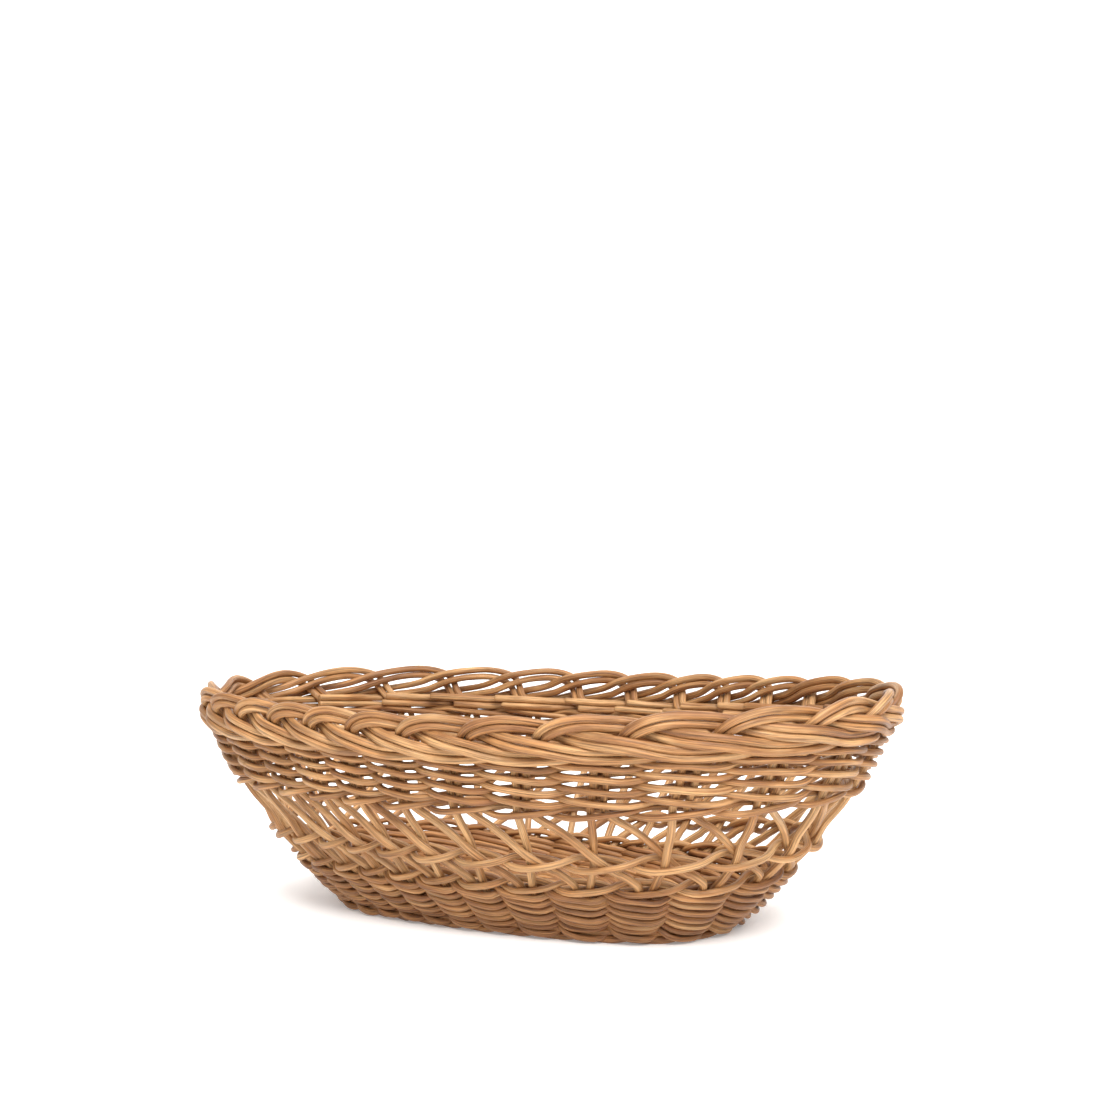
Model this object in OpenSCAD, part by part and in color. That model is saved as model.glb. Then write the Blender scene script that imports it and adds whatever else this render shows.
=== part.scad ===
// Oval open-work bread basket, woven from round cane.
// Millimetres, +Z up. The origin is on the table, under the middle of the base.
// Long axis along X. Every stake is one rod from the base to its cut end inside the border.

/* [Overall size] */
// Outside length over the border
basket_length = 307; // [240:1:380]
// Outside width over the border
basket_width = 189; // [150:1:240]
// Height from the table to the top of the border arches
basket_height = 93; // [80:1:130]
// Outside length of the base
base_length = 172; // [130:1:200]
// Outside width of the base
base_width = 92; // [70:1:120]
// How strongly the wall curves up between base and border (1 is a straight flare)
flare_curve = 1.75; // [1:0.05:2.2]
// End radius of the oval as a share of its half width (1 is a racetrack)
end_round = 0.88; // [0.7:0.01:0.95]

/* [Cane] */
// Diameter of the stakes, which also make the border
stake_d = 3.1; // [2.4:0.1:4]
// Diameter of the weavers of the wall
weaver_d = 3; // [2.2:0.1:4]
// Diameter of the base sticks
stick_d = 3.4; // [2.6:0.1:4.5]

/* [Weave] */
// Number of stake pairs
stake_pairs = 28; // [20:2:28]
// How much wider than the mean the widest stake spacing is
spacing_swing = 0.24; // [0:0.01:0.35]
// Rows of the tight lower band
lower_rows = 8; // [4:1:8]
// Height of the lowest row of the lower band
lower_start = 4.7; // [4.4:0.1:8]
// Height of the top row of the lower band
lower_top = 23.5; // [18:0.5:30]
// Height of the single fitch row, as a share of the way up the open band
fitch_share = 0.34; // [0.2:0.01:0.45]
// Rows of the upper band
upper_rows = 5; // [3:1:5]
// From the middle of the border's lowest rods down to the middle of the top row
border_gap = 3.3; // [2.8:0.1:8]
// Distance between the rows of the upper band
upper_pitch = 4.7; // [4:0.1:5]
// Stake pairs that a diagonal rod leans across, from the lower to the upper band
lean_pairs = 2; // [1:1:3]

/* [Base] */
// Number of long sticks in the middle of the base
long_sticks = 3; // [2:1:4]
// Number of cross sticks
cross_sticks = 7; // [5:2:9]
// Distance between the cross sticks
cross_pitch = 14; // [10:0.5:16]
// Length of a stake's end that is pushed into the base weave
stake_tail = 16; // [10:1:18]
// Rows of weaving on the base, from its edge inwards
base_rows = 10; // [6:1:10]

/* [Hidden] */
$fn = 64;
ROD_SIDES = 6;                       // flats around a swept rod
RING_POINTS = 60;                    // corners of a plain oval
CLEAR = 0.05;                        // gap between two canes that lie together
STAKE_OUT = (stake_d + weaver_d) / 2 + CLEAR;   // from a stake's axis to a weaver's
WALL_OUT = STAKE_OUT + weaver_d / 2;  // from the middle of the wall to its outer face
ROD_ASIDE = stake_d / 2 + CLEAR;     // from the middle of a pair to each rod's axis
WIDEST_AT = 0.304;                   // share of the stakes before the widest spacing
END_SWING = 0.036;                   // how much closer the stakes stand at pair 1's end
FIRST_STAKE = 0.6155;                // share of the way round, from the +X end, of stake pair 1
BASE_LAYER = weaver_d / 2;           // thickness of the weave under and over the base sticks
BASE_MID = BASE_LAYER + stick_d / 2;  // height of the base sticks and of the stakes' tails

// Middle of the wall, at the base and at the top
FOOT_A = base_length / 2 - WALL_OUT;
FOOT_B = base_width / 2 - WALL_OUT;
BORDER_OUT = 0.3;                    // how far the border stands out past the weave
RIM_A = basket_length / 2 - WALL_OUT - BORDER_OUT;
RIM_B = basket_width / 2 - WALL_OUT - BORDER_OUT;

// The border route of a pair of rods, up to its cut end inside the wall. Each point is
// [steps of the stake spacing past the place where the pair comes out,
//  how far out from the middle of the wall in rod diameters,
//  height below the arch tops in mm, for rods of BORDER_ROD_D; it grows with thicker rods]
BORDER_ROD_D = 3.1;
BORDER = [
    [-0.08, -0.2, -11.9], [0.04, 0.9, -6.9], [0.37, 0.9, -3.0], [0.71, 0.15, -3.2],
    [1.06, -0.4, -5.0], [1.48, 0.6, -8.5], [2.03, 1.7, -11.2], [2.54, 1.0, -14.6],
    [3.0, 1.0, -15.3], [3.4, 0.0, -14.9], [3.7, -1.2, -14.1], [4.25, -1.35, -13.6]
];
STAKE_RISE = 0.28;                   // steps between a stake's top and where it comes out
HOLD = 0.3;                          // steps that a weaver runs straight past a stake

// Heights of the bands, counted down from the border
function border_height(c) = basket_height + c[2] * stake_d / BORDER_ROD_D;
UPPER_TOP = min([for (c = BORDER) border_height(c)]) - border_gap;
UPPER_START = UPPER_TOP - (upper_rows - 1) * upper_pitch;
FITCH_HEIGHT = lower_top + fitch_share * (UPPER_START - lower_top);
OPEN_MID = (lower_top + UPPER_START) / 2;   // where leaning and upright rods cross

function two(n) = n < 10 ? str("0", n) : str(n);
function stake_name(k) = str("stake_pair_", two(k + 1));
function lower_name(i) = str("lower_row_", i + 1);
function upper_name(i) = str("upper_row_", i + 1);

STRAW = [0.83, 0.65, 0.42];
HONEY = [0.74, 0.53, 0.31];
AMBER = [0.62, 0.42, 0.25];

// ---- the oval: two end arcs and two side arcs that meet without a corner ----
// An oval is [half length, half width, end radius]
function oval_at(z) =
    let (u = min(max(z / basket_height, 0), 1), g = 1 - pow(1 - u, flare_curve),
         a = FOOT_A + (RIM_A - FOOT_A) * g, b = FOOT_B + (RIM_B - FOOT_B) * g)
    [a, b, end_round * b];
function side_radius(o) =
    (pow(o[0] - o[2], 2) + o[1] * o[1] - o[2] * o[2]) / (2 * (o[1] - o[2]));
function join_angle(o) = atan2(side_radius(o) - o[1], o[0] - o[2]);

// Centre, radius and angle of the point at a share of the way round an oval
function oval_arc(o, share) =
    let (R = side_radius(o), p = join_angle(o),
         end_half = o[2] * p * PI / 180, side_half = R * (90 - p) * PI / 180,
         quarter = end_half + side_half,
         s = 4 * quarter * (share - floor(share)))
    s < end_half ? [[o[0] - o[2], 0], o[2], s / o[2] * 180 / PI]
    : s < 2 * quarter - end_half
        ? [[0, o[1] - R], R, p + (s - end_half) / R * 180 / PI]
    : s < 2 * quarter + end_half
        ? [[o[2] - o[0], 0], o[2], 180 - p + (s - 2 * quarter + end_half) / o[2] * 180 / PI]
    : s < 4 * quarter - end_half
        ? [[0, R - o[1]], R, 180 + p + (s - 2 * quarter - end_half) / R * 180 / PI]
    : [[o[0] - o[2], 0], o[2], 360 - p + (s - 4 * quarter + end_half) / o[2] * 180 / PI];
function outward(o, share) = let (t = oval_arc(o, share)[2]) [cos(t), sin(t), 0];
function oval_point(o, share, out = 0) =
    let (arc = oval_arc(o, share), r = arc[1] + out)
    [arc[0][0] + r * cos(arc[2]), arc[0][1] + r * sin(arc[2])];

// A point of the wall: share of the way round, height, how far out from the middle
// of the wall, and how far aside along it
function wall_point(share, z, out = 0, aside = 0) =
    let (o = oval_at(z), p = oval_point(o, share, out), n = outward(o, share))
    [p[0] - aside * n[1], p[1] + aside * n[0], z];

// Share of the way round at stake number k, counted in steps of the stake spacing
function share_at(k) =
    FIRST_STAKE + k / stake_pairs - END_SWING * sin(360 * k / stake_pairs) / (2 * PI)
    + spacing_swing * (sin(720 * (k / stake_pairs - WIDEST_AT)) + sin(720 * WIDEST_AT))
      / (4 * PI);

// ---- sweeping a round rod along a list of points ----
function unit(v) = v / norm(v);
function heading(path, i) =
    unit(path[min(i + 1, len(path) - 1)] - path[max(i - 1, 0)]);
function square_to(v, t) = unit(v - (v * t) * t);
function side_dirs(path, first) =
    [for (i = 0, n = square_to(first, heading(path, 0)); i < len(path);
          i = i + 1, n = i < len(path) ? square_to(n, heading(path, i)) : n) n];

module rod(path, diameter, first) {
    sides = side_dirs(path, first);
    last = len(path) - 1;
    points = [for (i = [0 : last])
        let (n = sides[i], b = cross(heading(path, i), n))
        for (j = [0 : ROD_SIDES - 1])
            path[i] + diameter / 2 * (cos(360 * j / ROD_SIDES) * n
                                      + sin(360 * j / ROD_SIDES) * b)];
    skin = [for (i = [0 : last - 1]) for (j = [0 : ROD_SIDES - 1])
        let (p = i * ROD_SIDES + j, q = i * ROD_SIDES + (j + 1) % ROD_SIDES)
        each [[p, p + ROD_SIDES, q + ROD_SIDES], [p, q + ROD_SIDES, q]]];
    start_cap = [for (j = [0 : ROD_SIDES - 1]) j];
    end_cap = [for (j = [ROD_SIDES - 1 : -1 : 0]) last * ROD_SIDES + j];
    polyhedron(points = points, faces = concat([start_cap], skin, [end_cap]));
}

// ---- canes laid round the oval ----
// A plain ring around an oval, between two offsets from it, its underside at z
module oval_band(o, inner, outer, z, thick) {
    translate([0, 0, z])
        linear_extrude(height = thick)
            difference() {
                polygon([for (i = [1 : RING_POINTS]) oval_point(o, i / RING_POINTS, outer)]);
                polygon([for (i = [1 : RING_POINTS]) oval_point(o, i / RING_POINTS, inner)]);
            }
}

// One weaver: it passes outside every other stake pair and inside the rest.
// first is 0 or 1, and shift moves its crossings along, in steps
module weaver(row_z, z, thick, first, shift) {
    o = oval_at(row_z);
    corners = [for (k = [0 : stake_pairs - 1], side = [-1, 1])
        [share_at(k + shift + side * HOLD), STAKE_OUT * ((k + first) % 2 == 0 ? 1 : -1)]];
    translate([0, 0, z])
        linear_extrude(height = thick)
            difference() {
                polygon([for (c = corners) oval_point(o, c[0], c[1] + weaver_d / 2)]);
                polygon([for (c = corners) oval_point(o, c[0], c[1] - weaver_d / 2)]);
            }
}

// A row of pairing: two weavers that change places between the stakes
module paired_row(z, shift, height) {
    half = height / 2 - CLEAR;
    weaver(z, z - half - CLEAR / 2, half, 0, shift);
    weaver(z, z + CLEAR / 2, half, 1, shift);
}

module lower_row(i) {
    pitch = (lower_top - lower_start) / (lower_rows - 1);
    paired_row(lower_start + i * pitch, 0, min(pitch, weaver_d));
}
module upper_row(i) { paired_row(UPPER_START + i * upper_pitch, 0, weaver_d); }
// In the open band a leaning rod has come half a step past the upright one
module middle_fitch_row() {
    lean = lean_pairs / 2 * (1 - (FITCH_HEIGHT - lower_top) / (OPEN_MID - lower_top));
    paired_row(FITCH_HEIGHT, lean / 2, weaver_d);
}

// ---- stakes ----
// Middle of a pair from the upper band to its cut end: [point, outward direction]
function head_route(k) =
    concat(
        [for (z = [UPPER_START, UPPER_TOP])
            [wall_point(share_at(k), z), outward(oval_at(z), share_at(k))]],
        [for (c = BORDER)
            let (s = share_at(k + STAKE_RISE + c[0]), z = border_height(c))
            [wall_point(s, z, c[1] * stake_d), outward(oval_at(z), s)]]);

function stake_path(k, leaning) =
    let (foot = leaning ? k + lean_pairs : k,
         aside = (leaning ? -1 : 1) * ROD_ASIDE,
         route = head_route(k), middles = [for (r = route) r[0]],
         rise = (FITCH_HEIGHT - lower_top) / (OPEN_MID - lower_top),
         cross_at = (foot + k) / 2)
    concat(
        // pushed into the base weave, then bent up along the wall
        [let (p = wall_point(share_at(foot), 0, -stake_tail, aside)) [p[0], p[1], BASE_MID],
         wall_point(share_at(foot), BASE_MID, -1, aside),
         wall_point(share_at(foot), lower_start + weaver_d, 0, aside),
         wall_point(share_at(foot), lower_top, 0, aside)],
        // the open band, where the leaning rods pass outside the upright ones
        [wall_point(share_at(foot + (cross_at - foot) * rise), FITCH_HEIGHT, 0, aside),
         wall_point(share_at(cross_at), OPEN_MID, leaning ? ROD_ASIDE : -ROD_ASIDE)],
        // up through the upper band and along the border, beside the pair's other rod
        [for (i = [0 : len(route) - 1])
            middles[i] + aside * unit(cross(route[i][1], heading(middles, i)))]
    );

module stake_pair(k) {
    for (leaning = [false, true])
        let (path = stake_path(k, leaning), inward = path[0] - path[1])
        rod(path, stake_d, [-inward[1], inward[0], 0]);
}

// ---- base ----
STICK_INSET = stake_tail + stake_d;  // the sticks end where the stakes' tails begin
BASE_PITCH = (FOOT_B - long_sticks / 2 * stick_d) / base_rows;

// Rows first to last, counted from the edge, each with a cane under and over the sticks
module base_weave(first, last) {
    for (i = [first : last], z = [0, BASE_LAYER + stick_d])
        oval_band(oval_at(0), CLEAR - (i + 1) * BASE_PITCH, -CLEAR - i * BASE_PITCH,
                  z, BASE_LAYER - CLEAR);
}
module base_edge_row() {
    inner = stake_d / 2 + 2 * CLEAR;
    oval_band(oval_at(weaver_d / 2), inner, inner + weaver_d, 0, weaver_d);
}
module base_long_sticks() {
    for (i = [0 : long_sticks - 1])
        translate([0, (i - (long_sticks - 1) / 2) * stick_d, BASE_MID])
            rotate([0, 90, 0])
                cylinder(d = stick_d - 2 * CLEAR, h = 2 * (FOOT_A - STICK_INSET), center = true);
}
// Each cross stick is split in the middle, and the long sticks go through it
module base_cross_sticks() {
    slot = (long_sticks + 0.4) * stick_d;   // a little wider than the long sticks
    for (i = [0 : cross_sticks - 1])
        translate([(i - (cross_sticks - 1) / 2) * cross_pitch, 0, BASE_MID])
            difference() {
                union() {
                    rotate([90, 0, 0])
                        cylinder(d = stick_d - 2 * CLEAR, h = 2 * (FOOT_B - STICK_INSET),
                                 center = true);
                    cube([stick_d, slot + 2 * stick_d, 2 * BASE_MID - 2 * CLEAR], center = true);
                }
                cube([2 * stick_d, slot, stick_d], center = true);
            }
}

color(HONEY) base_long_sticks();
color(AMBER) base_cross_sticks();
color(AMBER) base_weave(base_rows / 2, base_rows - 1);  // base_weave_inner
color(AMBER) base_weave(0, base_rows / 2 - 1);  // base_weave_outer
color(AMBER) base_edge_row();
for (i = [0 : lower_rows - 1])
    color(HONEY) lower_row(i);
color(STRAW) middle_fitch_row();
for (i = [0 : upper_rows - 1])
    color(HONEY) upper_row(i);
for (k = [0 : stake_pairs - 1])
    color(STRAW) stake_pair(k);
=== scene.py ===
"""Oval open-work bread basket, woven from round cane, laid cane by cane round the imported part."""

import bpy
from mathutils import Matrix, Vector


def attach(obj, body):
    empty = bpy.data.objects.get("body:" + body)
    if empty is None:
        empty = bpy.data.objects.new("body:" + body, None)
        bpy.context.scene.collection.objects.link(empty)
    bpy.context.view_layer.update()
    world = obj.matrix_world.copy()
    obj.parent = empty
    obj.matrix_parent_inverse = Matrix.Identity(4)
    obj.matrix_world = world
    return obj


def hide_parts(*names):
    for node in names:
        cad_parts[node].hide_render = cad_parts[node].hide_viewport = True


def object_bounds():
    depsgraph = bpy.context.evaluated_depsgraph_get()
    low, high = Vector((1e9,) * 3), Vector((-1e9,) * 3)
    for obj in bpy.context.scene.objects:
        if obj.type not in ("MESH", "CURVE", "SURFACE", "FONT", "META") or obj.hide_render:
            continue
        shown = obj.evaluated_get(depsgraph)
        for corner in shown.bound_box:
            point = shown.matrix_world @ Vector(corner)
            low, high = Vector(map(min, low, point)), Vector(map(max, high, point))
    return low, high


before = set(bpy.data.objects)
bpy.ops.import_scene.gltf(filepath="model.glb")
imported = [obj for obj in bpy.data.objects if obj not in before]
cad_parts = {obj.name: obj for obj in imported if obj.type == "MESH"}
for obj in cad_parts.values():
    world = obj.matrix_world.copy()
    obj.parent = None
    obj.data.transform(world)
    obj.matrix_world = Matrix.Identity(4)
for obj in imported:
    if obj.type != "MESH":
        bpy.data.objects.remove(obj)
CAD_BOX = [list(corner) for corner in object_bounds()]

import math

import bpy
import numpy as np
from mathutils import Matrix, Vector

bl_info = {
    "name": "Woven bread basket",
    "version": (1, 0, 0),
    "blender": (4, 5, 0),
    "location": "3D View > Sidebar > Basket",
    "description": "Weaves an oval open-work bread basket from round cane",
    "category": "Add Mesh",
}

MM = 0.001
CLEAR = 0.05            # mm between two canes that lie together
SEED = 20
FIRST_STAKE = 0.6155    # share of the way round, from the +X end, of stake pair 1
WIDEST_AT = 0.304       # share of the stakes before the widest spacing
END_SWING = 0.036       # how much closer the stakes stand at pair 1's end
CUT_NARROW = 0.86       # radius of a cut end's chamfer, as a share of the cane's

# The border route of a pair of rods: [steps of the stake spacing past the place where the
# pair comes out, how far out from the middle of the wall in rod diameters, mm up from the top]
BORDER = np.array([
    [-0.08, -0.2, -11.9], [0.04, 0.9, -6.9], [0.37, 0.9, -3.0], [0.71, 0.15, -3.2],
    [1.06, -0.4, -5.0], [1.48, 0.6, -8.5], [2.03, 1.7, -11.2], [2.54, 1.0, -14.6],
    [3.0, 1.0, -15.3], [3.4, 0.0, -14.9], [3.7, -1.2, -14.1], [4.3, -1.35, -13.4]])


def mm_prop(name, description, value):
    """A length property whose default is given in millimetres."""
    return bpy.props.FloatProperty(name=name, description=description, default=value * MM,
                                   min=0.0, unit="LENGTH", precision=5)


def share_prop(name, description, value):
    """A plain number up to 2.5, used as a share or an exponent."""
    return bpy.props.FloatProperty(name=name, description=description, default=value,
                                   min=0.0, max=2.5, subtype="FACTOR")


def count_prop(name, description, value, most):
    """A whole number of canes, rows or stakes."""
    return bpy.props.IntProperty(name=name, description=description, default=value,
                                 min=1, max=most)


def linear(code):
    """An sRGB hex colour as linear red, green and blue."""
    srgb = np.array([int(code[i:i + 2], 16) for i in (1, 3, 5)]) / 255
    return tuple(np.where(srgb <= 0.04045, srgb / 12.92, ((srgb + 0.055) / 1.055) ** 2.4))


def colour_prop(name, description, code):
    """A colour property whose default is an sRGB hex colour."""
    return bpy.props.FloatVectorProperty(name=name, description=description, subtype="COLOR",
                                         size=3, min=0.0, max=1.0, default=linear(code))


class BasketSizes(bpy.types.PropertyGroup):
    """Sizes of the basket."""
    length: mm_prop("Length", "Outside length over the border",
                    (CAD_BOX[1][0] - CAD_BOX[0][0]) / MM)
    width: mm_prop("Width", "Outside width over the border",
                   (CAD_BOX[1][1] - CAD_BOX[0][1]) / MM)
    height: mm_prop("Height", "Height from the table to the top of the border",
                    (CAD_BOX[1][2] - CAD_BOX[0][2]) / MM)
    base_length: mm_prop("Base length", "Outside length of the base", 172)
    base_width: mm_prop("Base width", "Outside width of the base", 92)
    flare: share_prop("Flare", "How strongly the wall curves up between base and border", 1.75)
    end_round: share_prop("End rounding", "End radius as a share of the half width", 0.88)
    stake_d: mm_prop("Stake diameter", "Diameter of the stakes and the border", 3.15)
    weaver_d: mm_prop("Weaver diameter", "Diameter of the weavers", 2.85)
    stick_d: mm_prop("Stick diameter", "Diameter of the base sticks", 3.4)
    pairs: count_prop("Stake pairs", "Number of stake pairs", 28, 28)
    swing: share_prop("Spacing swing", "How much wider than the mean the widest spacing is",
                      0.236)
    lower_rows: count_prop("Lower rows", "Rows of the tight lower band", 8, 8)
    lower_start: mm_prop("Lower band start", "Height of the lowest row", 4.7)
    lower_top: mm_prop("Lower band top", "Height of the top row of the lower band", 23.5)
    fitch_share: share_prop("Fitch share", "Height of the fitch row up the open band", 0.34)
    upper_rows: count_prop("Upper rows", "Rows of the upper band", 5, 5)
    upper_drop: mm_prop("Upper band drop", "From the border's top down to the top row", 18.6)
    upper_pitch: mm_prop("Upper row pitch", "Distance between the rows of the upper band", 4.7)
    stake_rise: share_prop("Stake rise", "Steps between a stake's top and where it comes out",
                           0.28)
    stake_tail: mm_prop("Stake tail", "Length of a stake's end in the base", 16)
    base_rows: count_prop("Base rows", "Rows of weaving on the base", 10, 10)
    base_mid: mm_prop("Base height", "Height of the middle of the base at its edge", 4.5)
    base_dome: mm_prop("Base dome", "How far the middle of the base is raised", 2.5)
    cross_pitch: mm_prop("Cross stick pitch", "Distance between the cross sticks", 14)


class CaneColours(bpy.types.PropertyGroup):
    """Colours of the cane."""
    straw: colour_prop("Straw", "Palest skin of the cane", "#C89B69")
    honey: colour_prop("Honey", "Middle tone of the cane", "#A87646")
    amber: colour_prop("Amber", "Darkest, most orange tone of the cane", "#8A5A32")
    pore: colour_prop("Pores", "Open fibres and grime along the cane", "#3C2415")
    floor: colour_prop("Floor", "Studio floor", "#F7F7F6")


# ---- the plan of the wall --------------------------------------------------------------
def unit(v):
    """Vectors scaled to length one."""
    return v / np.maximum(np.linalg.norm(v, axis=-1, keepdims=True), 1e-9)


class Plan:
    """The wall as a surface of two parameters: the share of the way round and the height."""

    def __init__(self, sizes):
        for key in sizes.bl_rna.properties.keys():
            if key in ("rna_type", "name"):
                continue
            value = getattr(sizes, key)
            is_length = sizes.bl_rna.properties[key].unit == "LENGTH"
            setattr(self, key, value / MM if is_length else value)
        self.stake_out = (self.stake_d + self.weaver_d) / 2
        wall_out = self.stake_out + self.weaver_d / 2 + CLEAR
        border_out = 0.3        # mm that the border stands out past the weave
        self.foot = (self.base_length / 2 - wall_out, self.base_width / 2 - wall_out)
        self.rim = (self.length / 2 - wall_out - border_out,
                    self.width / 2 - wall_out - border_out)
        self.upper_top = self.height - self.upper_drop
        self.upper_start = self.upper_top - (self.upper_rows - 1) * self.upper_pitch
        self.fitch = self.lower_top + self.fitch_share * (self.upper_start - self.lower_top)

    def oval(self, z):
        """Half length, half width and end radius: the foot and the rim are joined by one
        minus a power of the height that is left."""
        g = 1 - (1 - np.clip(np.asarray(z, float) / self.height, 0, 1)) ** self.flare
        a = self.foot[0] + (self.rim[0] - self.foot[0]) * g
        b = self.foot[1] + (self.rim[1] - self.foot[1]) * g
        return a, b, self.end_round * b

    def arc(self, share, z):
        """Centre, radius and angle of the arc of a four-centre oval on which a share of its
        way round falls."""
        a, b, r = self.oval(z)
        a, b, r, share = np.broadcast_arrays(a, b, r, np.asarray(share, float))
        side = ((a - r) ** 2 + b * b - r * r) / (2 * (b - r))
        join = np.arctan2(side - b, a - r)
        end_half, side_half = r * join, side * (np.pi / 2 - join)
        quarter = end_half + side_half
        s = 4 * quarter * (share - np.floor(share))
        where = [s < end_half, s < 2 * quarter - end_half, s < 2 * quarter + end_half,
                 s < 4 * quarter - end_half]
        angle = np.select(
            where, [s / r, join + (s - end_half) / side,
                    np.pi - join + (s - 2 * quarter + end_half) / r,
                    np.pi + join + (s - 2 * quarter - end_half) / side],
            2 * np.pi - join + (s - 4 * quarter + end_half) / r)
        nil = 0 * a
        return (np.select(where, [a - r, nil, r - a, nil], a - r),
                np.select(where, [nil, b - side, nil, side - b], nil),
                np.select(where, [r, side, r, side], r), angle)

    def outward(self, share, z):
        """Level direction out of the wall."""
        angle = self.arc(share, z)[3]
        return np.stack([np.cos(angle), np.sin(angle), 0 * angle], -1)

    def point(self, share, z, out=0.0):
        """Centre plus radius and offset times the direction of the angle, at that height."""
        cx, cy, radius, angle = self.arc(share, z)
        x = cx + (radius + out) * np.cos(angle)
        y = cy + (radius + out) * np.sin(angle)
        return np.stack(np.broadcast_arrays(x, y, np.asarray(z, float)), -1)

    def share_at(self, k):
        """Share of the way round at stake k: even steps, with the spacing widest at two
        places and a little closer at one end."""
        x = np.asarray(k, float) / self.pairs
        return (FIRST_STAKE + x - END_SWING * np.sin(2 * np.pi * x) / (2 * np.pi)
                + self.swing * (np.sin(4 * np.pi * (x - WIDEST_AT))
                                + np.sin(4 * np.pi * WIDEST_AT)) / (4 * np.pi))


# ---- routes of the canes ---------------------------------------------------------------
def smooth_curve(knots, spacing):
    """Rows of values along a natural cubic spline through the knots, whose parameter is the
    chord length of the first three columns, about one row for each spacing."""
    chord = np.linalg.norm(np.diff(knots[:, :3], axis=0), axis=1)
    t = np.concatenate([[0], np.cumsum(chord)])
    n = len(t)
    h = np.diff(t)
    matrix = np.eye(n)
    right = np.zeros_like(knots)
    i = np.arange(1, n - 1)
    matrix[i, i - 1], matrix[i, i], matrix[i, i + 1] = h[:-1], 2 * (h[:-1] + h[1:]), h[1:]
    slope = np.diff(knots, axis=0) / h[:, None]
    right[1:-1] = 6 * np.diff(slope, axis=0)
    bend = np.linalg.solve(matrix, right)
    at = np.linspace(0, t[-1], int(round(t[-1] / spacing)) + 1)
    j = np.clip(np.searchsorted(t, at, side="right") - 1, 0, n - 2)
    w, hj = (at - t[j])[:, None], h[j][:, None]
    return (knots[j] + w * (slope[j] - hj * (2 * bend[j] + bend[j + 1]) / 6)
            + w ** 2 * bend[j] / 2 + w ** 3 * (bend[j + 1] - bend[j]) / (6 * hj))


def wobble(rng, count, samples, waves, closed):
    """Smooth random offsets in three directions: a few sine waves with seeded phases."""
    t = np.linspace(0, 1, samples, endpoint=not closed)[None, :, None, None]
    f = np.arange(1, waves + 1)[None, None, None, :]
    phase = rng.uniform(0, 2 * np.pi, (count, 1, 3, waves))
    size = rng.normal(0, 1, (count, 1, 3, waves)) / math.sqrt(waves)
    return (size * np.sin(2 * np.pi * f * t + phase)).sum(-1)


def stake_routes(plan, rng):
    """Two rods a pair, as rows of [steps, out, height, height of the oval, aside] on a
    spline, turned into places on the wall for every pair at once."""
    step, spacing = 28.0, 1.7     # mm that a step stands for on the spline, and a sample
    half = plan.stake_d / 2 + CLEAR
    mid = (plan.lower_top + plan.upper_start) / 2
    open_band = plan.upper_start - plan.lower_top
    tail = plan.stake_tail
    over_fitch = plan.fitch + 6.0
    routes = []
    for leaning in (False, True):
        foot, side = (2.0, -1.0) if leaning else (0.0, 1.0)

        def rise(z):
            """Steps that a leaning rod has still to go at a height of the open band."""
            return 1.92 - 1.80 * (z - plan.lower_top) / open_band

        low = [[foot, -tail, plan.base_mid, 0, side * half],
               [foot, -tail / 2, plan.base_mid - 0.2, 0, side * half],
               [foot, -1.2, plan.base_mid, 0, side * half],
               [foot, 0, 9.5, 9.5, side * half],
               [foot, 0, 16.5, 16.5, side * half],
               [foot - 0.08 * leaning, 0, plan.lower_top, plan.lower_top, side * half]]
        out = 1.0 if leaning else -1.0
        middle = [[rise(z) if leaning else 0.0, out * n, z, z, side * w]
                  for z, n, w in ((plan.fitch, 0.2, 1.2), (over_fitch, half, 0.3),
                                  (mid + 9, 0.3, -0.6))]
        high = [[0, 0, z, z, -side * 1.25 * half]
                for z in (plan.upper_start + 1, plan.upper_top - 6, plan.upper_top)]
        top = [[plan.stake_rise + u, n * plan.stake_d, plan.height + d, plan.height + d,
                -side * half] for u, n, d in BORDER]
        knots = np.array(low + middle + high + top)
        knots[:, 0] *= step
        rows = smooth_curve(knots, spacing)
        k = np.arange(plan.pairs)[:, None] + rows[None, :, 0] / step
        share = plan.share_at(k)
        z, oval_z = rows[None, :, 2], rows[None, :, 3]
        route = plan.point(share, np.maximum(oval_z, 0), rows[None, :, 1])
        if leaning:               # a rod that leans springs nearly straight over the band
            span = np.clip((oval_z - plan.lower_top - 3) / (open_band - 4), 0, 1)
            first, last = np.nonzero((span[0] > 0) & (span[0] < 1))[0][[0, -1]]
            bow = route[:, first:last + 1]
            chord = bow[:, :1] + (bow[:, -1:] - bow[:, :1]) * np.linspace(
                0, 1, last + 1 - first)[None, :, None]
            route[:, first:last + 1] += 0.7 * (chord - bow)
        inset = np.clip(-rows[None, :, 1] / plan.foot[1], 0, 1) * (oval_z <= 0.5)
        route[..., 2] = z + plan.base_dome * (1 - (1 - inset) ** 2)
        heading = unit(np.gradient(route, axis=1))
        normal = plan.outward(share, np.maximum(oval_z, 0))
        across = np.cross(heading, normal)
        flat = np.stack([-normal[..., 1], normal[..., 0], 0 * normal[..., 0]], -1)
        across = np.where(np.linalg.norm(across, axis=-1, keepdims=True) < 0.55,
                          flat, unit(across))
        apart = 1.4 * plan.swing * np.cos(4 * np.pi * (k / plan.pairs - WIDEST_AT))
        width = 1 + apart * ((z > plan.lower_top + 8) & (z < plan.upper_top - 2))
        route = route + (rows[None, :, 4] * width)[..., None] * across
        route += 0.16 * wobble(rng, plan.pairs, route.shape[1], 7, False)
        routes.append(route)
    return routes                              # for each rod of a pair: pair, sample, xyz


def crossing_phase(t, cross_at):
    """Turns steps into the phase of a twist: whole at each stake, and half where two canes
    change places, which is moved from the middle by a smooth bump."""
    part = t - np.floor(t)
    bump = (part * (1 - part)) ** 2
    size = (0.5 - cross_at) / (cross_at * (1 - cross_at)) ** 2
    return np.floor(t) + part + size * bump


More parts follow.
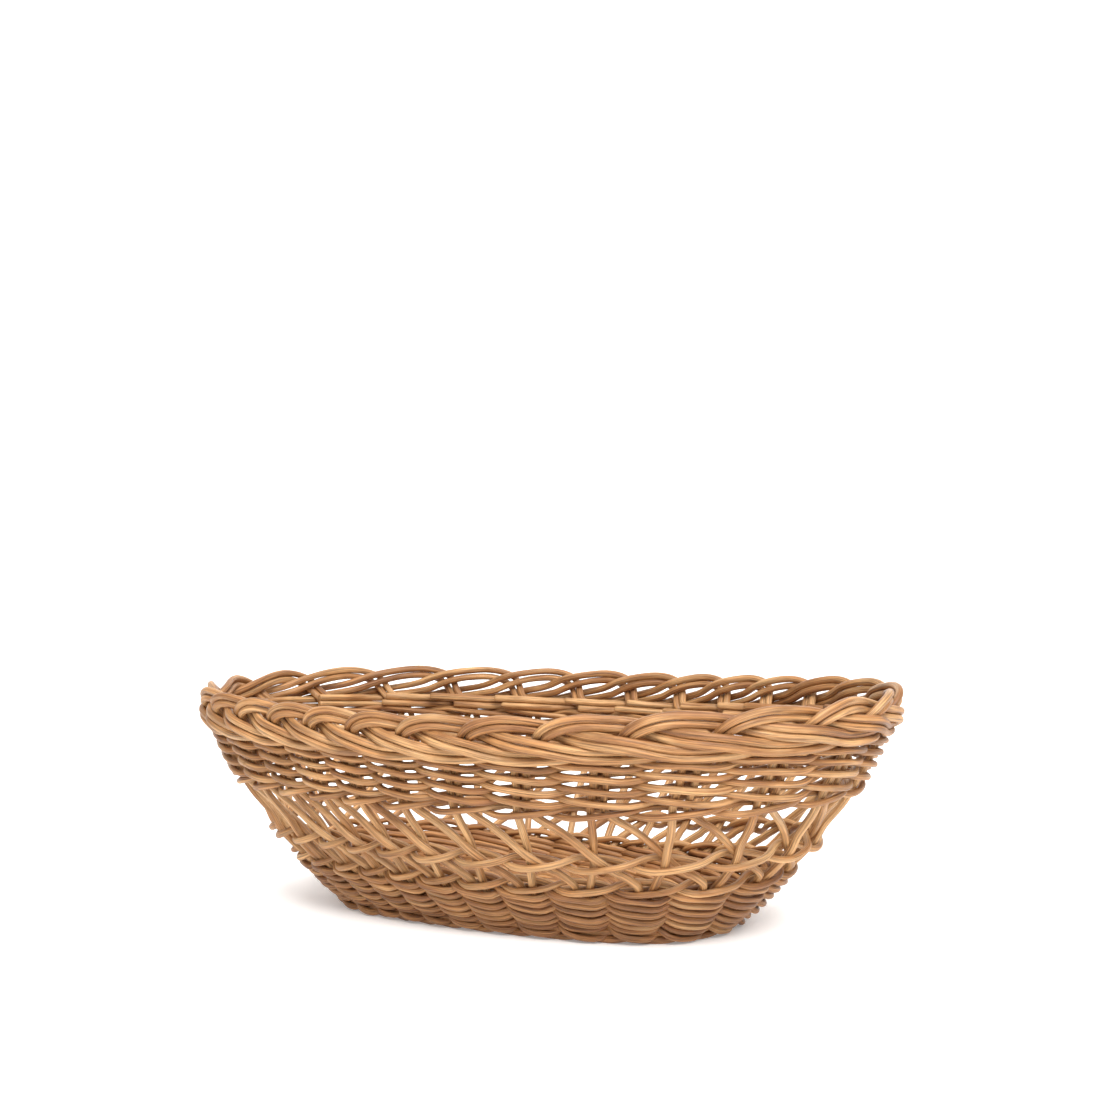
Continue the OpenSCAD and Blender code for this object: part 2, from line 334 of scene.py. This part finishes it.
def row_routes(plan, rng, z, cross_at, turn, shift, thick, level, spacing=1.9):
    """Two canes a row: each is outside one stake pair and inside the next by a flattened
    cosine, and above or below its partner by a sine, in the wall's own slope."""
    a, b, _ = plan.oval(z)
    samples = int(round(2 * np.pi * math.sqrt((a * a + b * b) / 2) / spacing))
    t = np.linspace(0, plan.pairs, samples, endpoint=False)[None, :] + np.zeros((2, 1))
    phase = np.pi * (crossing_phase(t - shift, cross_at) + np.array([[0], [1]]))
    share = plan.share_at(t)
    height = z + 0.22 * wobble(rng, 1, samples, 6, True)[..., 0]
    here = plan.point(share, height)
    up = unit(plan.point(share, height + 1) - here)
    out = unit(np.cross(unit(np.gradient(here, axis=1)), up))
    flat = 1.5                                 # how long a cane stays beside a stake
    n = plan.stake_out * np.tanh(flat * np.cos(phase)) / math.tanh(flat)
    h = thick * (-0.5 * turn * np.sin(phase) + level * np.cos(phase))
    route = here + n[..., None] * out + h[..., None] * up
    return route + 0.08 * wobble(rng, 2, samples, 14, True)


def base_routes(plan, rng, row, inner):
    """Two canes a round of the base, over one radial and under the next: the outer rounds
    hold the stakes' tails, and the inner ones the sticks."""
    pitch = (plan.foot[1] - 1.5 * plan.stick_d) / plan.base_rows
    inset = (row + 0.5) * pitch
    dense = np.linspace(0, 1, 2881)
    ring = plan.point(dense, 0.0, -inset)
    if inner:
        half = len(dense) // 2 + 1
        xs = plan.cross_pitch * np.arange(3, -4, -1)
        top = np.interp(-xs, -ring[:half, 0], dense[:half])
        at = np.concatenate([[0], top, [0.5], 0.5 + top, [1]])
    else:
        at = np.sort(plan.share_at(np.arange(plan.pairs)) % 1)
        at = np.concatenate([at, [1 + at[0]]])
    count = len(at) - 1
    length = np.linalg.norm(np.diff(ring, axis=0), axis=1).sum()
    samples = max(int(round(length / 2.0)), 4 * count)
    share = at[0] + np.linspace(0, 1, samples, endpoint=False)
    t = np.interp(share, at, np.arange(count + 1.0))[None, :] + np.zeros((2, 1))
    phase = np.pi * (t + np.array([[0], [1]]) + row)
    dome = plan.base_dome * (1 - (1 - min(inset / plan.foot[1], 1)) ** 2)
    here = plan.point(share, 0.0, -inset)[None] + np.zeros((2, 1, 1))
    out = plan.outward(share, 0.0)[None]
    flat = 1.4                                 # how long a cane stays over a stick
    lift = (plan.stake_out - 0.15) * np.tanh(flat * np.cos(phase)) / math.tanh(flat)
    across = 0.45 * plan.weaver_d * np.sin(phase)
    route = here + across[..., None] * out
    route[..., 2] = plan.base_mid + dome + lift
    return route + 0.06 * wobble(rng, 2, samples, 10, True)


def edge_routes(plan, rng):
    """A three-cane wale under the foot of the wall: each cane goes outside two pairs and
    inside one, one pair behind the cane before it."""
    samples = 250
    t = np.linspace(0, plan.pairs, samples, endpoint=False)[None, :] + np.zeros((3, 1))
    lag = np.arange(3)[:, None]
    phase = 2 * np.pi * (t + lag) * round(plan.pairs / 3) / plan.pairs
    share = plan.share_at(t)
    here = plan.point(share, 0.0)
    out = plan.outward(share, 0.0)
    away, swing, lowest, rise = 4.6, 1.5, 1.75, 1.3        # mm
    n = away + swing * np.cos(phase)
    route = here + n[..., None] * out
    route[..., 2] = lowest + plan.base_mid * 0.30 + rise * np.sin(phase)
    return route + 0.06 * wobble(rng, 3, samples, 10, True)


def stick_routes(plan):
    """Straight base sticks that follow the dome: three long ones, and seven across."""
    inset = plan.stake_tail + plan.stake_d
    along = np.linspace(-1, 1, 60)
    dome = plan.base_mid + plan.base_dome * (1 - 0.85 * np.abs(along) ** 3)
    reach_x, reach_y = plan.foot[0] - inset, plan.foot[1] - inset
    long_ones = [np.stack([along * reach_x, 0 * along + i * plan.stick_d, dome], -1)
                 for i in (-1, 0, 1)]
    across = [np.stack([0 * along + i * plan.cross_pitch, along * reach_y, dome], -1)
              for i in range(-3, 4)]
    return long_ones, across


def hand_woven(plan, route):
    """The wall is not quite even: it stands higher towards its +X end, by a power of the
    distance. The near side of the border dips in the middle. On the far side the lower band
    sags, and the upper band is beaten down from the border's arches, each by a bump round
    the oval that fades out with height."""
    x, y, z = route[..., 0], route[..., 1], route[..., 2]
    a, b, _ = plan.oval(z)
    rises_from = 25.0                          # mm from the middle
    rise, dip, low_sag, high_sag = 6.5, 1.6, 6.0, 2.2      # most, in mm
    end = np.clip((x - rises_from) / (plan.length / 2 - rises_from), 0, 1) ** 1.4
    lift = rise * end * np.clip(z / 22, 0, 1) ** 1.5 * (0.75 + 0.25 * z / plan.height)
    front = dip * np.exp(-((x + 20) / 60) ** 2) * (y < 0) * np.clip((z - 60) / 25, 0, 1)
    round_at = np.arctan2(y / b, x / a) / np.pi
    far = np.exp(-((round_at - 0.47) / 0.26) ** 2)
    low = np.interp(z, [0, 4, plan.lower_top, plan.fitch, plan.upper_start, 200],
                    [0, 0, 1, 0.9, 0, 0])
    far_rim = np.exp(-((round_at - 0.6) / 0.3) ** 2)
    high = np.interp(z, [0, plan.upper_start, plan.upper_top, plan.height - 9,
                         plan.height - 5, 200], [0, 0, 1, 1, 0, 0])
    moved = route.copy()
    sag = low_sag * far * low + high_sag * far_rim * high
    moved[..., 2] = z + lift - front - sag
    inner = plan.oval(np.maximum(z - sag, 0))
    shrink = np.stack([inner[0] / a, inner[1] / b], -1)
    moved[..., :2] *= np.where((sag > 0.05)[..., None], shrink, 1)
    return moved


# ---- letting the canes settle ----------------------------------------------------------
def near_pairs(points, cane, place, reach):
    """Pairs of samples of different canes, or far apart on one, that lie within reach:
    samples are sorted into cubes of that size, and each cube meets its neighbours."""
    row = 4096                                 # more cubes than there are along any side
    far_along = 12                             # samples
    cube = np.floor((points - points.min(0)) / reach).astype(np.int64) + 1
    key = (cube[:, 0] * row + cube[:, 1]) * row + cube[:, 2]
    order = np.argsort(key, kind="stable")
    ranked = key[order]
    first, second = [], []
    for dx in (-1, 0, 1):
        for dy in (-1, 0, 1):
            for dz in (-1, 0, 1):
                other = key + (dx * row + dy) * row + dz
                low = np.searchsorted(ranked, other, "left")
                count = np.searchsorted(ranked, other, "right") - low
                i = np.repeat(np.arange(len(key)), count)
                start = np.repeat(low - np.concatenate([[0], np.cumsum(count)[:-1]]), count)
                j = order[start + np.arange(len(i))]
                apart = np.abs(place[i] - place[j]) > far_along
                keep = (i < j) & ((cane[i] != cane[j]) | apart)
                i, j = i[keep], j[keep]
                close = ((points[i] - points[j]) ** 2).sum(1) < reach * reach
                first.append(i[close])
                second.append(j[close])
    return np.concatenate(first), np.concatenate(second)


def settle(canes, rounds=90, reach=6.5, look_again=15, keep_moved=0.996):
    """Canes that run into each other are pushed apart along the line between them. Each
    round the pushes are spread along the cane, as its stiffness would, and eased a little
    back towards the cane's own route. Neighbours are looked up again every few rounds."""
    points = np.concatenate([c["route"] for c in canes])
    size = [len(c["route"]) for c in canes]
    start = np.concatenate([[0], np.cumsum(size)])
    cane = np.repeat(np.arange(len(canes)), size)
    place = np.arange(len(points)) - start[cane]
    radius = np.repeat([c["radius"] for c in canes], size)
    before, after = np.arange(len(points)) - 1, np.arange(len(points)) + 1
    for c, a, b in zip(canes, start[:-1], start[1:]):
        before[a] = b - 1 if c["closed"] else a
        after[b - 1] = a if c["closed"] else b - 1
    home = points.copy()
    moved = np.zeros_like(points)
    for turn in range(rounds):
        if turn % look_again == 0:
            i, j = near_pairs(points, cane, place, reach)
            both = radius[i] + radius[j]
        gap = points[i] - points[j]
        far = np.maximum(np.linalg.norm(gap, axis=1), 1e-6)
        deep = np.maximum(both - far, 0)
        hit = deep > 0
        ii, jj = i[hit], j[hit]
        push = gap[hit] * (0.5 * deep[hit] / far[hit])[:, None]
        number = (np.bincount(ii, minlength=len(points))
                  + np.bincount(jj, minlength=len(points)))
        share = 1 / np.maximum(number, 1.0) ** 0.6
        for axis in range(3):
            total = (np.bincount(ii, push[:, axis], len(points))
                     - np.bincount(jj, push[:, axis], len(points)))
            moved[:, axis] += 0.9 * total * share
        for _ in range(2):
            moved = 0.25 * moved[before] + 0.5 * moved + 0.25 * moved[after]
        moved *= keep_moved
        points = home + moved
        low = radius - points[:, 2]
        sunk = low > 0
        moved[sunk, 2] += low[sunk]
        points = home + moved
    for c, a, b in zip(canes, start[:-1], start[1:]):
        c["route"] = points[a:b]


CANES = {}


def lay_canes(sizes):
    """Every cane of the basket, by the node it stands for, worked out once."""
    if CANES:
        return CANES
    plan = Plan(sizes)
    rng = np.random.default_rng(SEED)
    canes = []

    def keep(node, routes, radius, closed, tone):
        for route in routes:
            canes.append({"node": node, "route": route, "closed": closed,
                          "radius": radius * rng.uniform(0.95, 1.05),
                          "tone": float(np.clip(tone + rng.normal(0, 0.06), 0, 1)),
                          "grain": rng.uniform(0, 400, 3)})

    thick = plan.weaver_d
    stakes = stake_routes(plan, rng)
    for k in range(plan.pairs):
        for rod in range(2):
            end = stakes[rod].shape[1] - rng.integers(0, 9)
            keep(f"stake_pair_{k + 1:02d}", [stakes[rod][k, :end]], plan.stake_d / 2,
                 False, 0.62)
    pitch = (plan.lower_top - plan.lower_start) / (plan.lower_rows - 1)
    for i in range(plan.lower_rows):
        last = i == plan.lower_rows - 1
        cross_at = 0.5 + 0.045 * ((plan.lower_rows - 1) / 2 - i)
        keep(f"lower_row_{i + 1}",
             row_routes(plan, rng, plan.lower_start + i * pitch, 0.5 if last else cross_at,
                        -1 if last else 1, 0, thick, 0.05),
             thick / 2 * 0.95, True, 0.5 if last else 0.40)
    keep("middle_fitch_row", row_routes(plan, rng, plan.fitch, 0.5, -1, 0.17, thick, 0.0),
         thick / 2, True, 0.62)
    for i in range(plan.upper_rows):
        first = i == 0
        cross_at = 0.5 + 0.04 * ((plan.upper_rows - 1) / 2 - i)
        keep(f"upper_row_{i + 1}",
             row_routes(plan, rng, plan.upper_start + i * plan.upper_pitch,
                        0.5 if first else cross_at, -1 if first else 1, 0, thick, 0.14),
             thick / 2 * 0.91, True, 0.52 if first else 0.46)
    keep("base_edge_row", edge_routes(plan, rng), thick / 2, True, 0.3)
    for row in range(plan.base_rows):
        inner = row >= plan.base_rows // 2
        keep("base_weave_inner" if inner else "base_weave_outer",
             base_routes(plan, rng, row, inner), thick / 2, True, 0.4)
    long_ones, across = stick_routes(plan)
    keep("base_long_sticks", long_ones, plan.stick_d / 2, False, 0.5)
    keep("base_cross_sticks", across, plan.stick_d / 2, False, 0.4)
    for c in canes:
        c["route"] = hand_woven(plan, c["route"])
    settle([c for c in canes if c["node"] != "base_cross_sticks"])
    for c in canes:
        CANES.setdefault(c["node"], []).append(c)
    return CANES


# ---- meshes ----------------------------------------------------------------------------
def carried_frames(route, closed):
    """Heading, side and third direction at each sample. On a closed round the side is the
    level one; on an open rod it is carried from sample to sample without twist."""
    if closed:
        heading = unit(np.roll(route, -1, 0) - np.roll(route, 1, 0))
        side = unit(np.cross(heading, [0.0, 0.0, 1.0]))
    else:
        heading = unit(np.gradient(route, axis=0))
        side = np.empty_like(route)
        guess = np.cross(heading[0], [0.0, 0.0, 1.0])
        for i, t in enumerate(heading):
            guess = guess - guess @ t * t
            guess = guess / np.linalg.norm(guess)
            side[i] = guess
    return heading, side, np.cross(heading, side)


def cane_surface(cane, rng, sides):
    """A round profile carried along the route: the radius swells and pinches by slow waves
    along the cane and a slight flat that turns with it. Open ends are cut square with a
    small chamfer. Returns places, faces as quads and triangles, and grain places in mm."""
    route, closed = cane["route"], cane["closed"]
    heading, side, third = carried_frames(route, closed)
    n = len(route)
    along = np.concatenate([[0], np.cumsum(np.linalg.norm(np.diff(route, axis=0), axis=1))])
    slow = 0.035 * wobble(rng, 1, n, 9, closed)[0, :, 0]
    theta = 2 * np.pi * np.arange(sides) / sides
    flat = 0.045 * np.sin(2 * theta[None] + 2 * np.pi * rng.uniform()
                          + 1.2 * wobble(rng, 1, n, 3, closed)[0, :, 1][:, None])
    radius = cane["radius"] * (1 + slow[:, None] + flat)
    if not closed:
        radius[[0, -1]] *= CUT_NARROW
        inner = 0.35 * cane["radius"]          # depth of the chamfer
        route = np.concatenate([route[:1], route[:1] + inner * heading[:1], route[1:-1],
                                route[-1:] - inner * heading[-1:], route[-1:]])
        pick = np.concatenate([[0, 0], np.arange(1, n - 1), [n - 1, n - 1]])
        side, third, radius, along = side[pick], third[pick], radius[pick], along[pick]
        radius[[1, -2]] /= CUT_NARROW
        n = len(route)
    ring = (np.cos(theta)[None, :, None] * side[:, None]
            + np.sin(theta)[None, :, None] * third[:, None])
    places = (route[:, None] + radius[..., None] * ring).reshape(-1, 3)
    grain = np.stack(np.broadcast_arrays(cane["radius"] * np.cos(theta)[None],
                                         cane["radius"] * np.sin(theta)[None],
                                         along[:, None]), -1)
    grain = (grain + cane["grain"]).reshape(-1, 3)
    i = np.arange(n if closed else n - 1)[:, None]
    j = np.arange(sides)[None]
    a, b = i * sides + j, i * sides + (j + 1) % sides
    c, d = ((i + 1) % n) * sides + (j + 1) % sides, ((i + 1) % n) * sides + j
    quads = np.stack([a, b, c, d], -1).reshape(-1, 4)
    triangles = np.empty((0, 3), int)
    if not closed:
        total = len(places)
        places = np.concatenate([places, route[[0, -1]]])
        centre = grain.reshape(n, sides, 3).mean(1)[[0, -1]]
        grain = np.concatenate([grain, centre])
        j = np.arange(sides)
        k = (j + 1) % sides
        last = (n - 1) * sides
        triangles = np.concatenate([
            np.stack([np.full(sides, total), k, j], -1),
            np.stack([np.full(sides, total + 1), last + j, last + k], -1)])
    tone = cane["tone"] + 0.05 * np.sin(grain[:, 2] / 37.0) + 0.04 * np.sin(grain[:, 2] / 11.0)
    if cane["node"].startswith("stake"):       # painted shade where the border faces this scene's light
        border_starts, fade = 78.0, 6.0        # mm up
        # painted shade: the border catches the most light, so its cane is painted darker; the cane
        # is the same colour in the border and below it
        tone -= 0.14 * np.clip((places[:, 2] - border_starts) / fade, 0, 1)
    return places, quads, triangles, grain, tone


def build_piece(name, canes, material, slot, sides, *nodes):
    """One mesh of several canes, at the origin, riding on the body and standing for nodes."""
    rng = np.random.default_rng(SEED + sum(ord(c) * (i + 1) for i, c in enumerate(name)))
    places, quads, triangles, grain, tone = [], [], [], [], []
    base = 0
    for cane in canes:
        p, q, t, g, w = cane_surface(cane, rng, sides)
        places.append(p)
        quads.append(q + base)
        triangles.append(t + base)
        grain.append(g)
        tone.append(w)
        base += len(p)
    places, grain = np.concatenate(places) * MM, np.concatenate(grain)
    quads, triangles = np.concatenate(quads), np.concatenate(triangles)
    mesh = bpy.data.meshes.new(name)
    mesh.vertices.add(len(places))
    mesh.vertices.foreach_set("co", places.ravel())
    corners = np.concatenate([quads.ravel(), triangles.ravel()])
    counts = np.concatenate([np.full(len(quads), 4), np.full(len(triangles), 3)])
    mesh.loops.add(len(corners))
    mesh.loops.foreach_set("vertex_index", corners)
    mesh.polygons.add(len(counts))
    mesh.polygons.foreach_set("loop_start", np.concatenate([[0], np.cumsum(counts)[:-1]]))
    mesh.polygons.foreach_set("use_smooth", counts == 4)
    mesh.update(calc_edges=True)
    mesh.attributes.new("cane_grain", "FLOAT_VECTOR", "POINT").data.foreach_set(
        "vector", grain.ravel())
    # tone of each place, with painted shade in the stakes' border
    mesh.attributes.new("cane_tone", "FLOAT", "POINT").data.foreach_set(
        "value", np.concatenate(tone))
    mesh.validate()
    mesh.materials.append(material)
    piece = bpy.data.objects.new(name, mesh)
    bpy.context.scene.collection.objects.link(piece)
    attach(piece, "root")
    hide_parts(*nodes)
    return piece


# ---- materials -------------------------------------------------------------------------
def add(tree, kind, links=(), **settings):
    """Adds a node, sets its properties and inputs by name, and links its inputs."""
    node = tree.nodes.new(kind)
    for key, value in settings.items():
        if hasattr(node, key):
            setattr(node, key, value)
        else:
            node.inputs[key.replace("_", " ")].default_value = value
    for socket, source in links:
        tree.links.new(source, node.inputs[socket])
    return node


def cane_material(name, shift):
    """Peeled round rattan core, dried and lightly varnished: long fibres with open pores
    between them, so the colour runs in streaks along the cane, with a soft satin gloss."""
    found = bpy.data.materials.get(name)
    if found:
        return found
    colours = bpy.context.scene.cane_colours
    material = bpy.data.materials.new(name)
    material.use_nodes = True
    tree = material.node_tree
    tree.nodes.clear()
    grain = add(tree, "ShaderNodeAttribute", attribute_name="cane_grain").outputs["Vector"]
    # the cane's own tone, plus painted shade on the stakes' border
    tone = add(tree, "ShaderNodeAttribute", attribute_name="cane_tone").outputs["Fac"]

    def streaks(across, along, detail, rough=0.55):
        """Noise of so many mm across the cane and so many mm along it."""
        place = add(tree, "ShaderNodeMapping", [("Vector", grain)],
                    Scale=(1 / across, 1 / across, 1 / along))
        return add(tree, "ShaderNodeTexNoise", [("Vector", place.outputs["Vector"])],
                   Scale=1.0, Detail=detail, Roughness=rough).outputs["Fac"]

    broad = streaks(1.6, 45.0, 2.0)       # one side of a cane paler than the other
    fibre = streaks(0.42, 26.0, 3.0)      # bundles of fibre
    pores = streaks(0.2, 14.0, 2.0)       # real pores are finer; this is what can show
    patch = streaks(6.0, 18.0, 2.0)       # stains and paler lengths
    base = add(tree, "ShaderNodeMath", [(0, tone), (1, broad)], operation="ADD")
    base = add(tree, "ShaderNodeMath", [(0, base.outputs[0]), (1, patch)], operation="ADD")
    base = add(tree, "ShaderNodeMath", [(0, base.outputs[0])], operation="ADD")
    base.inputs[1].default_value = shift - 1.0            # the two noises average a half each
    ramp = add(tree, "ShaderNodeValToRGB", [("Fac", base.outputs[0])])
    stops = ramp.color_ramp.elements
    stops[0].position, stops[0].color = 0.18, (*colours.amber, 1)
    stops[1].position, stops[1].color = 0.85, (*colours.straw, 1)
    middle = stops.new(0.5)
    middle.color = (*colours.honey, 1)
    streak = add(tree, "ShaderNodeMapRange", [("Value", fibre)], From_Min=0.39, From_Max=0.61,
                 To_Min=0.62, To_Max=1.17)
    fibres = add(tree, "ShaderNodeVectorMath", [(0, ramp.outputs["Color"])], operation="SCALE")
    tree.links.new(streak.outputs["Result"], fibres.inputs["Scale"])
    open_pore = add(tree, "ShaderNodeMapRange", [("Value", pores)], From_Min=0.57,
                    From_Max=0.68, To_Min=0.0, To_Max=0.58)
    first_colour, second_colour, mixed_colour = 6, 7, 2   # the mix node's colour sockets
    mixed = add(tree, "ShaderNodeMix", [("Factor", open_pore.outputs["Result"]),
                                        (first_colour, fibres.outputs["Vector"])],
                data_type="RGBA")
    mixed.inputs[second_colour].default_value = (*colours.pore, 1)
    height = add(tree, "ShaderNodeMath", [(0, fibre), (1, open_pore.outputs["Result"])],
                 operation="SUBTRACT")
    bump = add(tree, "ShaderNodeBump", [("Height", height.outputs[0])], Strength=0.7,
               Distance=0.3 * MM)
    rough = add(tree, "ShaderNodeMapRange", [("Value", fibre)], From_Min=0.3, From_Max=0.7,
                To_Min=0.42, To_Max=0.62)
    shader = add(tree, "ShaderNodeBsdfPrincipled",
                 [("Base Color", mixed.outputs[mixed_colour]),
                  ("Roughness", rough.outputs["Result"]),
                  ("Normal", bump.outputs["Normal"])], IOR=1.48)
    add(tree, "ShaderNodeOutputMaterial", [("Surface", shader.outputs["BSDF"])])
    return material


def sheet_material(name, colour, glow, rough, specular):
    """Plain paper that gives off some white light of its own."""
    material = bpy.data.materials.new(name)
    material.use_nodes = True
    inputs = material.node_tree.nodes["Principled BSDF"].inputs
    inputs["Base Color"].default_value = (*colour, 1)
    inputs["Roughness"].default_value = rough
    inputs["Specular IOR Level"].default_value = specular
    inputs["Emission Color"].default_value = (1, 1, 1, 1)
    inputs["Emission Strength"].default_value = glow
    return material


def sheet(name, corners, material):
    """A flat sheet of one face."""
    mesh = bpy.data.meshes.new(name)
    mesh.from_pydata(corners, [], [(0, 1, 2, 3)])
    mesh.materials.append(material)
    piece = bpy.data.objects.new(name, mesh)
    bpy.context.scene.collection.objects.link(piece)
    return piece


# ---- operators -------------------------------------------------------------------------
class BASKET_OT_base(bpy.types.Operator):
    """Lays the base: three long sticks, seven cross sticks and ten rounds of weave"""
    bl_idname = "basket.base"
    bl_label = "Base"

    def execute(self, context):
        canes = lay_canes(context.scene.basket_sizes)
        cane = cane_material("peeled round cane, satin, base", -0.02)
        for node in ("base_long_sticks", "base_cross_sticks", "base_weave_inner",
                     "base_weave_outer", "base_edge_row"):
            build_piece(node.replace("base_", "cane_base_"), canes[node], cane, "base_cane",
                        10, node)
        return {"FINISHED"}


class BASKET_OT_wall_rows(bpy.types.Operator):
    """Weaves the rows of the wall: the lower band, the fitch row and the upper band"""
    bl_idname = "basket.wall_rows"
    bl_label = "Wall rows"

    def execute(self, context):
        canes = lay_canes(context.scene.basket_sizes)
        cane = cane_material("peeled round cane, satin, weavers", 0.0)
        for node in sorted(n for n in canes if "row" in n and not n.startswith("base")):
            build_piece(f"cane_{node}", canes[node], cane, "weaver_cane", 12, node)
        return {"FINISHED"}


class BASKET_OT_stakes(bpy.types.Operator):
    """Sets the stake pairs, which also make the open band and the plaited border"""
    bl_idname = "basket.stakes"
    bl_label = "Stakes and border"

    def execute(self, context):
        canes = lay_canes(context.scene.basket_sizes)
        cane = cane_material("peeled round cane, satin, stakes", 0.04)
        for node in sorted(n for n in canes if n.startswith("stake_pair")):
            build_piece(f"cane_{node}", canes[node], cane, "stake_cane", 14, node)
        return {"FINISHED"}


class BASKET_OT_stage(bpy.types.Operator):
    """Sets up the pale floor, the soft studio light and the camera"""
    bl_idname = "basket.stage"
    bl_label = "Stage"

    def execute(self, context):
        scene = context.scene
        colours = scene.cane_colours
        reach, far, turn_round = 4.0, 3.9, 0.45
        floor = sheet("studio_floor",
                      [(-reach, -reach, 0), (reach, -reach, 0), (reach, reach, 0),
                       (-reach, reach, 0)],
                      sheet_material("matt white paper", colours.floor, 0.22, 0.9, 0.1))
        backdrop = sheet("studio_backdrop",
                         [(-far, far, -0.1), (far, far, -0.1), (far, far, far),
                          (-far, far, far)],
                         sheet_material("lit white backdrop", colours.floor, 1.0, 0.5, 0.5))
        backdrop.data.transform(Matrix.Rotation(turn_round, 4, "Z"))
        world = bpy.data.worlds.new("studio")
        scene.world = world
        world.use_nodes = True
        sky = world.node_tree.nodes["Background"]
        sky.inputs["Color"].default_value = (1, 1, 1, 1)
        sky.inputs["Strength"].default_value = 0.5
        lamp = bpy.data.lights.new("soft_key", "AREA")
        lamp.shape, lamp.size, lamp.energy = "SQUARE", 0.8, 22.0
        key = bpy.data.objects.new("soft_key", lamp)
        key.matrix_world = self.aim((0.75, -0.85, 1.2), (0, 0, 0.05))
        lamp = bpy.data.lights.new("soft_sky", "SUN")
        lamp.energy, lamp.angle = 2.6, math.radians(75)
        sky_light = bpy.data.objects.new("soft_sky", lamp)
        sky_light.matrix_world = self.aim((0.25, -0.3, 1.0), (0, 0, 0))
        for light in (key, sky_light):
            scene.collection.objects.link(light)
        camera = bpy.data.cameras.new("view")
        camera.lens, camera.sensor_width = 55.64, 36.0
        camera.shift_x, camera.shift_y = 0.0120, 0.0178
        camera.clip_end = 20.0
        eye = bpy.data.objects.new("view", camera)
        pitch, away, high = 0.03, 0.7157, 0.1651
        place = (away * math.sin(turn_round), -away * math.cos(turn_round), high)
        eye.matrix_world = (Matrix.Translation(place) @ Matrix.Rotation(turn_round, 4, "Z")
                            @ Matrix.Rotation(math.pi / 2 - pitch, 4, "X"))
        scene.collection.objects.link(eye)
        scene.camera = eye
        scene.view_settings.view_transform = "Standard"
        return {"FINISHED"}

    @staticmethod
    def aim(place, target):
        """A matrix at a place whose -Z axis looks at the target."""
        turn = (Vector(target) - Vector(place)).to_track_quat("-Z", "Y")
        return Matrix.Translation(Vector(place)) @ turn.to_matrix().to_4x4()


class BASKET_PT_panel(bpy.types.Panel):
    """Lists the basket's pieces"""
    bl_label = "Basket"
    bl_space_type = "VIEW_3D"
    bl_region_type = "UI"
    bl_category = "Basket"

    def draw(self, context):
        for operator in (BASKET_OT_base, BASKET_OT_wall_rows, BASKET_OT_stakes,
                         BASKET_OT_stage):
            self.layout.operator(operator.bl_idname)
        for group in (context.scene.basket_sizes, context.scene.cane_colours):
            for key in group.bl_rna.properties.keys():
                if key not in ("rna_type", "name"):
                    self.layout.prop(group, key)


CLASSES = (BasketSizes, CaneColours, BASKET_OT_base, BASKET_OT_wall_rows, BASKET_OT_stakes,
           BASKET_OT_stage, BASKET_PT_panel)


def register():
    for kind in CLASSES:
        bpy.utils.register_class(kind)
    bpy.types.Scene.basket_sizes = bpy.props.PointerProperty(type=BasketSizes)
    bpy.types.Scene.cane_colours = bpy.props.PointerProperty(type=CaneColours)


def unregister():
    del bpy.types.Scene.cane_colours
    del bpy.types.Scene.basket_sizes
    for kind in reversed(CLASSES):
        bpy.utils.unregister_class(kind)


def main():
    """Makes the pieces in order."""
    register()
    bpy.ops.basket.base()
    bpy.ops.basket.wall_rows()
    bpy.ops.basket.stakes()
    bpy.ops.basket.stage()


if __name__ == "__main__":
    main()
